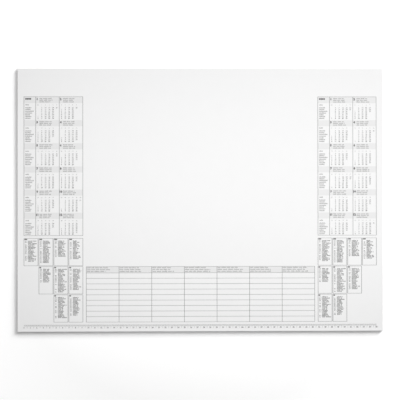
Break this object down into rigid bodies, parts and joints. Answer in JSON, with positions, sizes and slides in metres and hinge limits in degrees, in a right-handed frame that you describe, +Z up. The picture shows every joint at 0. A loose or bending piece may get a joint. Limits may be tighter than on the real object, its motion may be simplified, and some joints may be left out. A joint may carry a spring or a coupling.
{
  "type": "desk pad calendar",
  "caption": "Large flat desk pad of glued paper sheets on a grey backing board, printed with side calendars, note boxes, a week table and a centimetre rule.",
  "frame": {"origin": "centre of the pad's rectangle, on the underside of the backing board", "axes": "+X along the pad's width to the right, +Y towards the glued head edge, +Z up out of the writing face"},
  "size_m": [0.57, 0.4104, 0.0039],
  "materials": {
    "grey_board": "matt grey chipboard",
    "white_paper": "uncoated white writing paper",
    "padding_glue": "dried padding glue, satin",
    "grey_print": "grey ink on uncoated paper"
  },
  "bodies": {
    "root": {"backing_board": "grey_board", "sheet_block": "white_paper", "glue_edge": "padding_glue", "calendar_left": "grey_print", "calendar_right": "grey_print", "note_box_left_1_1": "grey_print", "note_box_left_1_2": "grey_print", "note_box_left_1_3": "grey_print", "note_box_left_1_4": "grey_print", "note_box_left_2_2": "grey_print", "note_box_left_2_3": "grey_print", "note_box_left_2_4": "grey_print", "note_box_left_3_3": "grey_print", "note_box_left_3_4": "grey_print", "note_box_right_1_1": "grey_print", "note_box_right_1_2": "grey_print", "note_box_right_1_3": "grey_print", "note_box_right_1_4": "grey_print", "note_box_right_2_1": "grey_print", "note_box_right_2_2": "grey_print", "note_box_right_2_3": "grey_print", "note_box_right_3_1": "grey_print", "note_box_right_3_2": "grey_print", "week_table": "grey_print", "ruler_scale": "grey_print"}
  },
  "joints": []
}
